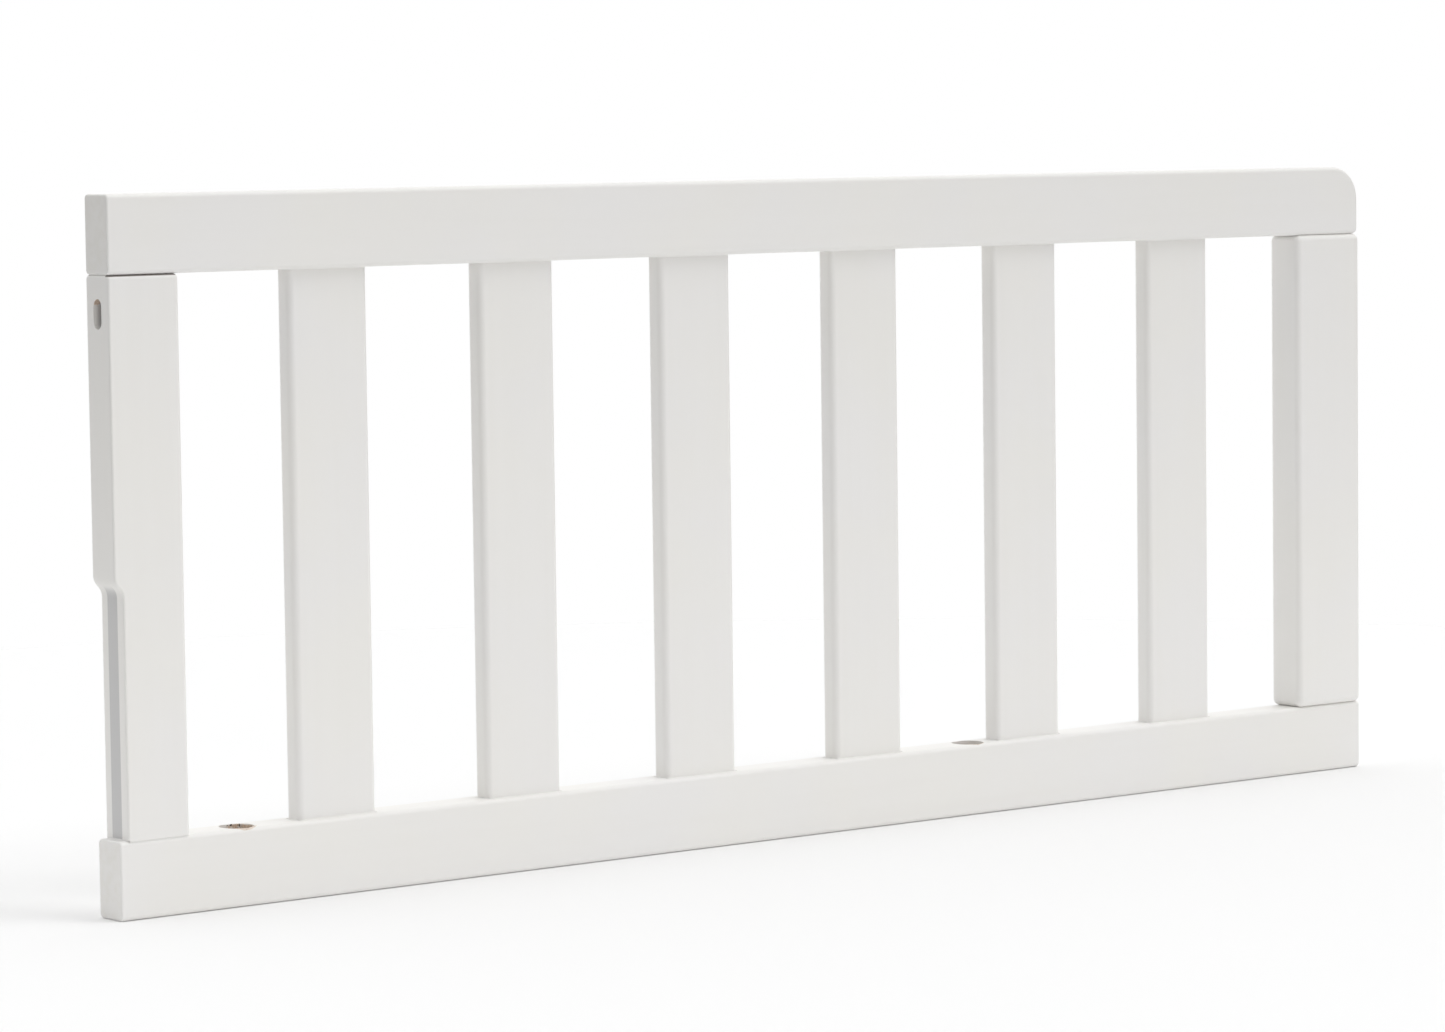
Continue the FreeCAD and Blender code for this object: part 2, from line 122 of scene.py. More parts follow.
def split(tree, vector):
    """The X, Y and Z of a vector."""
    node = add_node(tree, "ShaderNodeSeparateXYZ")
    feed(tree, node.inputs[0], vector)
    return node.outputs


def rescale(tree, value, low, high, new_low=0.0, new_high=1.0, smooth=True):
    """Maps value from one range to another, clamped; smooth eases it in and out."""
    node = add_node(tree, "ShaderNodeMapRange", clamp=True)
    node.interpolation_type = "SMOOTHSTEP" if smooth else "LINEAR"
    for target, item in zip(node.inputs, (value, low, high, new_low, new_high)):
        feed(tree, target, item)
    return node.outputs["Result"]


def mix_colours(tree, share, first, second):
    """The first colour with that share of it replaced by the second."""
    node = add_node(tree, "ShaderNodeMix", data_type="RGBA")
    factor, colours = node.inputs[0], node.inputs[6:8]
    for target, value in zip((factor, *colours), (share, first, second)):
        feed(tree, target, value)
    return node.outputs[2]


def noise(tree, where, scale, detail=3.0, roughness=0.5, distortion=0.0):
    """Fractal noise about 0.5."""
    node = add_node(tree, "ShaderNodeTexNoise", Scale=scale, Detail=detail, Roughness=roughness,
                    Distortion=distortion)
    tree.links.new(where, node.inputs["Vector"])
    return node.outputs["Fac"]


def new_group(name, inputs, outputs):
    """An empty node group whose sockets are given as (name, kind) or (name, kind, value)."""
    group = bpy.data.node_groups.new(name, "ShaderNodeTree")
    for direction, sockets in (("INPUT", inputs), ("OUTPUT", outputs)):
        for label, kind, *value in sockets:
            socket = group.interface.new_socket(label, in_out=direction, socket_type=f"NodeSocket{kind}")
            if value:
                socket.default_value = value[0]
    return group, group.nodes.new("NodeGroupInput"), group.nodes.new("NodeGroupOutput")


# ---------------------------------------------------------------- shared effects

def grain_group():
    """Figure of close-grained wood whose fibres run along X.

    Streaks are noise drawn out along X; pores are short dark dashes, the low tail of a finer noise.
    """
    group, given, made = new_group(
        "wood_grain",
        [("Where", "Vector"), ("Offset", "Float", 0.0)],
        [("Streaks", "Float"), ("Pores", "Float")])
    shift = add_node(group, "ShaderNodeCombineXYZ")
    for axis in range(3):
        feed(group, shift.inputs[axis], given.outputs["Offset"])
    where = combine(group, "ADD", given.outputs["Where"], shift.outputs[0])
    drawn_out = combine(group, "MULTIPLY", where, (6.0, 160.0, 160.0))
    streaks = noise(group, drawn_out, 1.0, detail=5.0, roughness=0.55, distortion=0.6)
    dashes = combine(group, "MULTIPLY", where, (90.0, 1500.0, 1500.0))
    pores = rescale(group, noise(group, dashes, 1.0, detail=2.0), 0.36, 0.26)
    group.links.new(streaks, made.inputs["Streaks"])
    group.links.new(pores, made.inputs["Pores"])
    return group


def sprayed_coat_group():
    """A sprayed coat of paint: slow drifts in tone, and the fine orange peel that spray leaves."""
    group, given, made = new_group(
        "sprayed_coat",
        [("Where", "Vector"), ("Offset", "Float", 0.0)],
        [("Drift", "Float"), ("Peel", "Float")])
    shift = add_node(group, "ShaderNodeCombineXYZ")
    feed(group, shift.inputs[0], given.outputs["Offset"])
    where = combine(group, "ADD", given.outputs["Where"], shift.outputs[0])
    drift = noise(group, where, 14.0, detail=3.0, roughness=0.45)
    coarse = noise(group, where, 420.0, detail=1.5, roughness=0.4)
    fine = noise(group, where, 1300.0, detail=1.0, roughness=0.4)
    peel = calculate(group, "MULTIPLY_ADD", fine, 0.35, coarse)
    group.links.new(drift, made.inputs["Drift"])
    group.links.new(peel, made.inputs["Peel"])
    return group


def near_edges_group():
    """How near a point of a board is to an edge of the board's box: 1 on it, 0 beyond Reach.

    The distance to an edge is the middle one of the three distances to the nearest faces.
    """
    group, given, made = new_group(
        "near_edges",
        [("Where", "Vector"), ("Low", "Vector"), ("High", "Vector"), ("Reach", "Float", 0.003)],
        [("Edge", "Float")])
    from_low = combine(group, "SUBTRACT", given.outputs["Where"], given.outputs["Low"])
    from_high = combine(group, "SUBTRACT", given.outputs["High"], given.outputs["Where"])
    x, y, z = split(group, combine(group, "MINIMUM", from_low, from_high))
    lower_pair = calculate(group, "MINIMUM", calculate(group, "MAXIMUM", x, y),
                           calculate(group, "MAXIMUM", y, z))
    middle = calculate(group, "MINIMUM", lower_pair, calculate(group, "MAXIMUM", x, z))
    edge = rescale(group, calculate(group, "DIVIDE", middle, given.outputs["Reach"]), 1.0, 0.0)
    group.links.new(edge, made.inputs["Edge"])
    return group


def round_bore_group():
    """An upright bore: Inside is 1 within Radius of its axis, and Worn is 1 just outside its front rim.

    Both have ragged edges; the worn band is Wear wide and lies on the half that faces -Y.
    """
    group, given, made = new_group(
        "round_bore",
        [("Where", "Vector"), ("Axis", "Vector"), ("Radius", "Float", 0.0075),
         ("Ragged", "Float", 0.0003), ("Wear", "Float", 0.0008)],
        [("Inside", "Float"), ("Worn", "Float")])
    offset = combine(group, "SUBTRACT", given.outputs["Where"], given.outputs["Axis"])
    flat = combine(group, "MULTIPLY", offset, (1.0, 1.0, 0.0))
    distance = combine(group, "LENGTH", flat)
    bite = calculate(group, "MULTIPLY",
                     calculate(group, "SUBTRACT", noise(group, given.outputs["Where"], 900.0), 0.5),
                     given.outputs["Ragged"])
    past_wall = calculate(group, "SUBTRACT", calculate(group, "ADD", distance, bite),
                          given.outputs["Radius"])
    group.links.new(rescale(group, past_wall, 0.00008, -0.00002), made.inputs["Inside"])
    band = rescale(group, calculate(group, "DIVIDE", past_wall, given.outputs["Wear"]), 1.0, 0.7)
    front = rescale(group, combine(group, "DOT_PRODUCT", offset, (0.0, -1.0, 0.0)), 3.5 * MM, 5.5 * MM)
    group.links.new(calculate(group, "MULTIPLY", band, front), made.inputs["Worn"])
    return group


def filled_nails_group():
    """The filled heads of a row of brads in a rail's back: small rings where the filler has sunk.

    The row starts at Start and repeats every Pitch along X, at the height of Start; Back is 1 on
    the back face only.
    """
    group, given, made = new_group(
        "filled_nails",
        [("Where", "Vector"), ("Start", "Vector"), ("Pitch", "Float", 0.1), ("Back", "Float", 1.0)],
        [("Filler", "Float"), ("Rim", "Float")])
    offset = split(group, combine(group, "SUBTRACT", given.outputs["Where"], given.outputs["Start"]))
    half = calculate(group, "MULTIPLY", given.outputs["Pitch"], 0.5)
    along = calculate(group, "WRAP", offset["X"], half, calculate(group, "MULTIPLY", half, -1.0))
    spot = add_node(group, "ShaderNodeCombineXYZ")
    feed(group, spot.inputs["X"], along)
    feed(group, spot.inputs["Y"], offset["Z"])
    wander = calculate(group, "MULTIPLY", noise(group, given.outputs["Where"], 1400.0), 0.5 * MM)
    distance = calculate(group, "ADD", combine(group, "LENGTH", spot.outputs[0]), wander)
    filler = calculate(group, "MULTIPLY", rescale(group, distance, 1.5 * MM, 1.1 * MM),
                       given.outputs["Back"])
    ring = calculate(group, "ABSOLUTE", calculate(group, "SUBTRACT", distance, 1.4 * MM))
    rim = calculate(group, "MULTIPLY", rescale(group, ring, 0.35 * MM, 0.0), given.outputs["Back"])
    group.links.new(filler, made.inputs["Filler"])
    group.links.new(rim, made.inputs["Rim"])
    return group


GRAIN = grain_group()
COAT = sprayed_coat_group()
EDGES = near_edges_group()
BORE = round_bore_group()
NAILS = filled_nails_group()


def place_group(tree, group, **values):
    """A group node in tree with its inputs fed by name."""
    node = add_node(tree, "ShaderNodeGroup", node_tree=group)
    for name, value in values.items():
        feed(tree, node.inputs[name], value)
    return node


# ---------------------------------------------------------------- finishes

PAINT = (0.872, 0.859, 0.828, 1.0)
PAINT_COOL = (0.866, 0.855, 0.841, 1.0)
PAINT_DEEP = (0.833, 0.819, 0.782, 1.0)
PAINT_EDGE_HIGHLIGHT = (0.915, 0.905, 0.885, 1.0)
FILLER = (0.80, 0.77, 0.71, 1.0)
BARE_LIGHT = (0.86, 0.72, 0.60, 1.0)
BARE_DARK = (0.50, 0.38, 0.29, 1.0)
CREVICE_SHADE = (0.10, 0.075, 0.06, 1.0)
SLOT_DEPTH_SHADE = (0.47, 0.47, 0.48, 1.0)
BARE_DARK_SPECK = (0.03, 0.022, 0.018, 1.0)
SPLINTER_GAP_SHADE = (0.012, 0.010, 0.010, 1.0)
BEECH = (0.66, 0.47, 0.30, 1.0)
BEECH_STREAK = (0.50, 0.33, 0.19, 1.0)
BEECH_FLECK = (0.24, 0.14, 0.08, 1.0)
WIRE = (0.56, 0.56, 0.57, 1.0)
WIRE_STAIN = (0.38, 0.36, 0.34, 1.0)
ALONG_X = (0.0, 0.0, 0.0)
ALONG_Z = (0.0, math.radians(90), 0.0)


def new_material(name):
    """A material with its Principled shader, and its Object coordinates."""
    material = bpy.data.materials.new(name)
    material.use_nodes = True
    tree = material.node_tree
    shader = tree.nodes["Principled BSDF"]
    where = add_node(tree, "ShaderNodeTexCoord").outputs["Object"]
    return material, tree, shader, where


def turned_to_grain(tree, where, turn):
    """Coordinates turned so that the board's fibres run along X."""
    mapping = add_node(tree, "ShaderNodeMapping", vector_type="POINT", Rotation=turn)
    tree.links.new(where, mapping.inputs["Vector"])
    return mapping.outputs["Vector"]


def end_grain_mask(tree, turn):
    """1 where the surface faces along the fibres, as on a board's cut ends."""
    normal = add_node(tree, "ShaderNodeNewGeometry").outputs["Normal"]
    along = (0.0, 0.0, 1.0) if turn == ALONG_Z else (1.0, 0.0, 0.0)
    facing = calculate(tree, "ABSOLUTE", combine(tree, "DOT_PRODUCT", normal, along))
    return rescale(tree, facing, 0.75, 0.97)


def lay_paint(tree, where, node, turn, offset):
    """Colour, roughness and height of satin white paint over wood, with a painted highlight along the
    edges.
    """
    low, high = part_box(node)
    fibres = turned_to_grain(tree, where, turn)
    grain = place_group(tree, GRAIN, Where=fibres, Offset=offset)
    coat = place_group(tree, COAT, Where=where, Offset=offset)
    edge = place_group(tree, EDGES, Where=where, Low=low, High=high, Reach=2.5 * MM).outputs["Edge"]
    ends = end_grain_mask(tree, turn)

    drift = rescale(tree, coat.outputs["Drift"], 0.3, 0.7)
    tone = mix_colours(tree, drift, PAINT, PAINT_COOL)
    sunk = calculate(tree, "MULTIPLY", rescale(tree, grain.outputs["Streaks"], 0.35, 0.75), 0.15)
    tone = mix_colours(tree, sunk, tone, PAINT_DEEP)
    soaked = calculate(tree, "MULTIPLY", ends,
                       rescale(tree, noise(tree, where, 260.0, detail=4.0), 0.35, 0.7, 0.25, 0.9))
    tone = mix_colours(tree, soaked, tone, PAINT_DEEP)
    # painted highlight: within 2.5 mm of an edge the paint is mixed towards a lighter white
    tone = mix_colours(tree, calculate(tree, "MULTIPLY", edge, 0.2), tone, PAINT_EDGE_HIGHLIGHT)

    rough = rescale(tree, coat.outputs["Drift"], 0.3, 0.7, 0.40, 0.48)
    rough = calculate(tree, "MULTIPLY_ADD", ends, 0.10, rough)
    rough = calculate(tree, "MULTIPLY_ADD", edge, -0.06, rough)

    height = calculate(tree, "MULTIPLY", coat.outputs["Peel"], 0.012)
    height = calculate(tree, "MULTIPLY_ADD", grain.outputs["Streaks"], 0.010, height)
    height = calculate(tree, "MULTIPLY_ADD", calculate(tree, "MULTIPLY", grain.outputs["Pores"], ends),
                       -0.05, height)
    return tone, rough, height


def finish_surface(tree, shader, colour, rough, height):
    """Feeds the shader; height is in millimetres."""
    bump = add_node(tree, "ShaderNodeBump", Strength=1.0, Distance=MM)
    feed(tree, bump.inputs["Height"], height)
    feed(tree, shader.inputs["Base Color"], colour)
    feed(tree, shader.inputs["Roughness"], rough)
    feed(tree, shader.inputs["Normal"], bump.outputs["Normal"])


def bare_wood(tree, where, turn, offset):
    """Colour, roughness and height of raw wood: straw and tan streaks with a few near-black specks."""
    fibres = turned_to_grain(tree, where, turn)
    grain = place_group(tree, GRAIN, Where=fibres, Offset=offset)
    torn = noise(tree, combine(tree, "MULTIPLY", where, (1.0, 1.0, 2.2)), 1100.0, detail=4.0)
    share = calculate(tree, "ADD", calculate(tree, "MULTIPLY", grain.outputs["Streaks"], 0.5),
                      calculate(tree, "MULTIPLY", torn, 0.55))
    colour = mix_colours(tree, rescale(tree, share, 0.35, 0.75), BARE_LIGHT, BARE_DARK)
    # near-black specks where the fine torn-fibre noise runs high
    dark_specks = rescale(tree, torn, 0.66, 0.74)
    colour = mix_colours(tree, dark_specks, colour, BARE_DARK_SPECK)
    height = calculate(tree, "MULTIPLY", torn, 0.35)
    return colour, 0.82, height


def painted_board(name, node, turn, offset):
    """Satin white paint on one board."""
    material, tree, shader, where = new_material(name)
    finish_surface(tree, shader, *lay_paint(tree, where, node, turn, offset))
    return material


def fill_nails(tree, where, brads, finish):
    """Marks the filled brad heads on a rail's back: duller, a shade warmer, and sunk a hair."""
    first, second = (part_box(name) for name in SLATS[:2])
    middle = 0.5 * (first[0].x + first[1].x)
    pitch = 0.5 * (second[0].x + second[1].x) - middle
    low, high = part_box(brads)
    normal = split(tree, add_node(tree, "ShaderNodeNewGeometry").outputs["Normal"])
    back = rescale(tree, normal["Y"], 0.6, 0.9)
    nails = place_group(tree, NAILS, Where=where, Start=(middle, 0.0, 0.5 * (low.z + high.z)),
                        Pitch=pitch, Back=back)
    colour = mix_colours(tree, calculate(tree, "MULTIPLY", nails.outputs["Filler"], 0.6), finish[0],
                         FILLER)
    rough = calculate(tree, "MULTIPLY_ADD", nails.outputs["Filler"], 0.12, finish[1])
    height = calculate(tree, "MULTIPLY_ADD", nails.outputs["Filler"], -0.10, finish[2])
    height = calculate(tree, "MULTIPLY_ADD", nails.outputs["Rim"], 0.05, height)
    return colour, rough, height


def nailed_board(name, node, turn, offset, brads):
    """Paint on a rail whose back has a row of filled brads."""
    material, tree, shader, where = new_material(name)
    finish = lay_paint(tree, where, node, turn, offset)
    finish_surface(tree, shader, *fill_nails(tree, where, brads, finish))
    return material


def lay_bare(tree, share, paint, wood):
    """Raw wood in place of paint where share is 1."""
    colour = mix_colours(tree, share, paint[0], wood[0])
    rough = rescale(tree, share, 0.0, 1.0, paint[1], wood[1], smooth=False)
    height = rescale(tree, share, 0.0, 1.0, paint[2], wood[2], smooth=False)
    return colour, rough, height


def drilled_board(name, node, turn, offset):
    """Paint on the bottom rail, with raw wood down its bolt holes.

    The paint was sprayed after drilling, so it runs a little way down each bore before it gives out,
    less far in the left bore, whose rim has torn, than in the right one.
    """
    material, tree, shader, where = new_material(name)
    finish = lay_paint(tree, where, node, turn, offset)
    wood = bare_wood(tree, where, turn, offset)
    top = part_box(node)[1].z
    depth = calculate(tree, "SUBTRACT", top, split(tree, where)["Z"])
    at_rim = rescale(tree, depth, 1.1 * MM, 0.7 * MM, 0.0, 0.75)
    ragged = rescale(tree, noise(tree, where, 420.0, detail=4.0), 0.3, 0.7, -1.0, 1.0, smooth=False)
    for mount, overspray, wander, wear in (("bolt_head_seat_left", 1.6 * MM, 0.6 * MM, 1.2 * MM),
                                           ("bolt_head_seat_right", 3.0 * MM, 0.4 * MM, 0.4 * MM)):
        axis = MOUNTS[mount]
        bore = place_group(tree, BORE, Where=where, Axis=axis, Radius=BORE_RADIUS, Ragged=0.5 * MM,
                           Wear=wear)
        reach = calculate(tree, "MULTIPLY_ADD", ragged, wander, overspray)
        below = rescale(tree, calculate(tree, "SUBTRACT", depth, reach), 0.0, 0.25 * MM)
        bare = calculate(tree, "MAXIMUM", calculate(tree, "MULTIPLY", bore.outputs["Inside"], below),
                         calculate(tree, "MULTIPLY", bore.outputs["Worn"], at_rim))
        finish = lay_bare(tree, bare, finish, wood)
    finish_surface(tree, shader, *fill_nails(tree, where, "bottom_rail_brads", finish))
    return material


def slotted_board(name, node, turn, offset):
    """Paint on the left stile, chipped back to the wood at the top of its pin slot.

    Down the slot painted shade greys the paint with depth. The stile's upper end is not quite
    filled against the rail in front, and painted shade draws that joint as a dark line there.
    """
    material, tree, shader, where = new_material(name)
    finish = lay_paint(tree, where, node, turn, offset)
    wood = bare_wood(tree, where, turn, offset)
    slot = MOUNTS["locating_slot"]
    crown = slot + Vector((1.6 * MM, 0.0, SLOT_HALF_LENGTH))
    away = combine(tree, "DISTANCE", where, crown)
    ragged = calculate(tree, "MULTIPLY", noise(tree, where, 1000.0, detail=3.0), 1.6 * MM)
    chipped = rescale(tree, calculate(tree, "ADD", away, ragged), 4.9 * MM, 4.5 * MM)
    x, y, z = split(tree, where)
    inward = calculate(tree, "SUBTRACT", x, slot.x)
    from_middle = calculate(tree, "ABSOLUTE", y)
    in_slot = calculate(tree, "MULTIPLY", rescale(tree, from_middle, 4.0 * MM, 3.5 * MM),
                        rescale(tree, inward, 12.0 * MM, 10.0 * MM))
    # painted shade: the slot's walls grey with depth in from its mouth
    slot_depth_shade = calculate(tree, "MULTIPLY", rescale(tree, inward, 0.8 * MM, 5.5 * MM), in_slot)
    colour = mix_colours(tree, calculate(tree, "MULTIPLY", slot_depth_shade, 0.9), finish[0], SLOT_DEPTH_SHADE)
    within = calculate(tree, "MULTIPLY", rescale(tree, inward, 0.05 * MM, 0.3 * MM), in_slot)
    colour, *rest = lay_bare(tree, calculate(tree, "MULTIPLY", chipped, within),
                             (colour, *finish[1:]), wood)
    below_joint = calculate(tree, "SUBTRACT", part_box(node)[1].z, z)
    # painted shade: a dark line just under the stile's top, on its front, where it meets the rail
    crevice_shade = calculate(tree, "MULTIPLY", rescale(tree, below_joint, 0.85 * MM, 0.4 * MM),
                        rescale(tree, y, -5.8 * MM, -6.8 * MM))
    colour = mix_colours(tree, calculate(tree, "MULTIPLY", crevice_shade, 0.9), colour, CREVICE_SHADE)
    finish_surface(tree, shader, colour, *rest)
    return material


def splintered_wood(name):
    """Raw fibres at a torn rim: straw and tan, with flecks of paint on them and painted shade, near
    black, in the slits between them.
    """
    material, tree, shader, where = new_material(name)
    colour, rough, height = bare_wood(tree, where, ALONG_X, 9.0)
    flecks = rescale(tree, noise(tree, where, 760.0, detail=3.0), 0.50, 0.56)
    colour = mix_colours(tree, calculate(tree, "MULTIPLY", flecks, 0.85), colour, PAINT_COOL)
    # painted shade: near-black slits between the fibres
    gap_shade = rescale(tree, noise(tree, combine(tree, "ADD", where, (0.31, 0.0, 0.0)), 640.0, detail=3.0),
                   0.60, 0.66)
    colour = mix_colours(tree, gap_shade, colour, SPLINTER_GAP_SHADE)
    finish_surface(tree, shader, colour, rescale(tree, flecks, 0.0, 1.0, rough, 0.5), height)
    return material


def raw_beech(name, turn):
    """Dowel stock: pale beech with its short dark flecks."""
    material, tree, shader, where = new_material(name)
    fibres = turned_to_grain(tree, where, turn)
    grain = place_group(tree, GRAIN, Where=fibres, Offset=4.0)
    colour = mix_colours(tree, grain.outputs["Streaks"], BEECH, BEECH_STREAK)
    colour = mix_colours(tree, calculate(tree, "MULTIPLY", grain.outputs["Pores"], 0.6), colour,
                         BEECH_FLECK)
    rough = rescale(tree, grain.outputs["Streaks"], 0.3, 0.7, 0.6, 0.75)
    height = calculate(tree, "MULTIPLY", grain.outputs["Pores"], -0.05)
    finish_surface(tree, shader, colour, rough, height)
    return material


def drawn_wire(name):
    """Bright steel wire with fine drawing marks, as brads are cut from."""
    material, tree, shader, where = new_material(name)
    marks = noise(tree, combine(tree, "MULTIPLY", where, (9000.0, 400.0, 9000.0)), 1.0, detail=3.0)
    stain = noise(tree, where, 900.0, detail=4.0)
    colour = mix_colours(tree, rescale(tree, stain, 0.5, 0.75), WIRE, WIRE_STAIN)
    rough = rescale(tree, marks, 0.3, 0.7, 0.24, 0.42)
    shader.inputs["Metallic"].default_value = 1.0
    finish_surface(tree, shader, colour, rough, calculate(tree, "MULTIPLY", marks, 0.006))
    return material


def dress(node, material):
    """Puts a material on every slot of a CAD node."""
    for slot in frame["nodes"][node].material_slots:
        slot.material = material


def dress_boards():
    """Each board has its own grain and drift, because no two are cut from one length."""
    dress("top_rail", nailed_board("paint_top_rail", "top_rail", ALONG_X, 0.0, "top_rail_brads"))
    dress("bottom_rail", drilled_board("paint_bottom_rail", "bottom_rail", ALONG_X, 1.7))
    dress("left_stile", slotted_board("paint_left_stile", "left_stile", ALONG_Z, 3.1))
    dress("right_stile", painted_board("paint_right_stile", "right_stile", ALONG_Z, 4.6))
    for number, node in enumerate(SLATS):
        dress(node, painted_board(f"paint_{node}", node, ALONG_Z, 6.0 + 1.3 * number))


def dress_fastenings():
    """The hidden dowels and brads."""
    beech = raw_beech("beech", ALONG_Z)
    wire = drawn_wire("brad_wire")
    for node in DOWELS:
        dress(node, beech)
    for node in BRADS:
        dress(node, wire)


# ---------------------------------------------------------------- small pieces

def grid_faces(rows, columns, ring=True):
    """Quads of a grid of points whose columns close into a tube; the tube is a ring or has two ends."""
    row, column = (part.ravel() for part in np.meshgrid(np.arange(rows if ring else rows - 1),
                                                        np.arange(columns), indexing="ij"))
    next_row, next_column = (row + 1) % rows, (column + 1) % columns
    return np.stack([row * columns + column, row * columns + next_column,
                     next_row * columns + next_column, next_row * columns + column], axis=-1)


def facing_out(points, faces):
    """The same faces, turned round if the shell they close has a negative volume."""
    first, second, third, fourth = (points[faces[:, corner]] for corner in range(4))
    volume = (np.einsum("ij,ij->i", first, np.cross(second, third))
              + np.einsum("ij,ij->i", first, np.cross(third, fourth))).sum()
    return faces if volume > 0 else faces[:, ::-1]


def add_piece(name, shells, material, smooth=True, ring=True):
    """One object out of closed tubes, each a grid of points in metres; it rides with the panel."""
    points, faces, count = [], [], 0
    for shell in shells:
        flat = shell.reshape(-1, 3)
        points.append(flat)
        faces.append(facing_out(flat, grid_faces(*shell.shape[:2], ring)) + count)
        count += len(flat)
    mesh = bpy.data.meshes.new(name)
    mesh.from_pydata(np.concatenate(points).tolist(), [], np.concatenate(faces).tolist())
    mesh.polygons.foreach_set("use_smooth", np.full(len(mesh.polygons), smooth))
    mesh.materials.append(material)
    piece = bpy.data.objects.new(name, mesh)
    bpy.context.scene.collection.objects.link(piece)
    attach(piece, "root")
    return piece


def ripple(steps, seed, waves=(1, 2, 3, 5, 8, 13, 21)):
    """A closed wobble between -1 and 1: whole waves round the loop, each with its own phase."""
    random = np.random.default_rng(seed)
    turn = np.linspace(0.0, 2 * np.pi, steps, endpoint=False)
    heights = sum(np.sin(wave * turn + random.uniform(0, 2 * np.pi)) / wave ** 0.5 for wave in waves)
    return heights / np.abs(heights).max()


def round_rectangle(low, high, corner, steps):
    """Points round a rectangle with rounded corners, and the direction away from it at each.

    A quarter circle of radius corner at each corner; the straight sides are filled at even spacing.
    """
    quarter = np.linspace(0.0, np.pi / 2, 9)
    points, away = [], []
    centres = ((high[0] - corner, high[1] - corner), (low[0] + corner, high[1] - corner),
               (low[0] + corner, low[1] + corner), (high[0] - corner, low[1] + corner))
    for turn, centre in enumerate(centres):
        angle = quarter + turn * np.pi / 2
        direction = np.stack([np.cos(angle), np.sin(angle)], axis=-1)
        arc = np.array(centre) + corner * direction
        ahead = centres[(turn + 1) % 4]
        last = direction[-1]
        end = np.array(ahead) + corner * last
        run = np.linspace(0.0, 1.0, steps)[1:-1, None]
        points += [arc, arc[-1] + (end - arc[-1]) * run]
        away += [direction, np.broadcast_to(last, (steps - 2, 2))]
    return np.concatenate(points), np.concatenate(away)


def paint_bead(low, high, corner, seat, upward, leg, seed):
    """A fillet of paint round a post where it stands on a rail's face at height seat.

    Its section is the corner's square of side leg less a quarter circle centred on the square's far
    corner; leg wobbles round the loop. upward is 1 above a rail and -1 under one.
    """
    loop, away = round_rectangle(low, high, corner, 14)
    side = leg * (1.0 + 0.35 * ripple(len(loop), seed))[:, None]
    bend = np.linspace(0.0, np.pi / 2, 6)
    out = np.concatenate([side * (1.0 - np.cos(bend)), -0.1 * side], axis=1)
    rise = np.concatenate([side * (1.0 - np.sin(bend)), -0.05 * side], axis=1)
    flat = loop[:, None, :] + away[:, None, :] * out[..., None]
    return np.concatenate([flat, (seat + upward * rise)[..., None]], axis=-1)


def slat_beads():
    """Paint that has run into the corner round each slat, at the bottom rail and under the top one."""
    rail_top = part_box("bottom_rail")[1].z
    rail_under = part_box("top_rail")[0].z
    for number, node in enumerate(SLATS):
        low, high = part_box(node)
        for seat, upward, end in ((rail_top, 1.0, "foot"), (rail_under, -1.0, "head")):
            bead = paint_bead(low.xy, high.xy, SLAT_CORNER, seat, upward, 0.45 * MM,
                              seed=10 * number + (1 if upward > 0 else 2))
            material = painted_board(f"paint_bead_{node}_{end}", node, ALONG_Z, 20.0 + number)
            add_piece(f"paint_bead_{node}_{end}", [bead], material)


def ribbon(start, end, outwards, section):
    """A closed strip from start to end; section gives how far out and up each point of a row is.

    The first and last rows are drawn together to their middles, which closes the ends.
    """
    share = np.linspace(0.0, 1.0, len(section))[:, None, None]
    line = np.array(start) + (np.array(end) - np.array(start)) * share
    strip = line + section[..., :1] * np.array(outwards) + section[..., 1:] * np.array((0.0, 0.0, 1.0))
    strip[0], strip[-1] = strip[0].mean(axis=0), strip[-1].mean(axis=0)
    return strip


def stile_beads():
    """Paint at the left stile's foot, a strip along each side.

    At the front and back it closes the wedge over the rail's rounded edge: a shallow hollow set back
    0.3 mm, half a sine deep. At the two sides it is a fillet like the slats'.
    """
    corners = np.array([vertex.co for vertex in frame["nodes"]["left_stile"].data.vertices])
    foot = corners[corners[:, 2] < corners[:, 2].min() + 0.2 * MM]
    left, right = foot[:, 0].min(), foot[:, 0].max()
    rail_low, rail_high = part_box("bottom_rail")
    wobble = ripple(48, 77)[:, None]

    drop = np.linspace(0.0, 1.0, 7)[None, :]
    hollow = -(0.30 + 0.22 * np.sin(np.pi * drop)) * MM * (1.0 + 0.15 * wobble)
    hidden = -np.linspace(1.3, 1.5, 4)[None, :] * MM * np.ones_like(wobble)
    fall = np.concatenate([drop[0], np.linspace(0.9, 0.0, 4)]) * -0.9 * MM - 0.01 * MM
    wedge = np.stack([np.concatenate([hollow, hidden], axis=1),
                      np.broadcast_to(fall, (48, 11))], axis=-1)

    bend = np.linspace(0.0, np.pi / 2, 6)[None, :]
    leg = 0.45 * MM * (1.0 + 0.3 * wobble)
    fillet = np.stack([np.concatenate([leg * (1.0 - np.cos(bend)), -0.1 * leg], axis=1),
                       np.concatenate([leg * (1.0 - np.sin(bend)), -0.05 * leg], axis=1)], axis=-1)

    inset, flat, top = 0.8 * MM, rail_high.y - 1.9 * MM, rail_high.z
    return [
        ribbon((left + inset, rail_low.y, top), (right - inset, rail_low.y, top), (0, -1, 0), wedge),
        ribbon((left + inset, rail_high.y, top), (right - inset, rail_high.y, top), (0, 1, 0), wedge),
        ribbon((left, -flat, top), (left, flat, top), (-1, 0, 0), fillet),
        ribbon((right, -flat, top), (right, flat, top), (1, 0, 0), fillet),
    ]


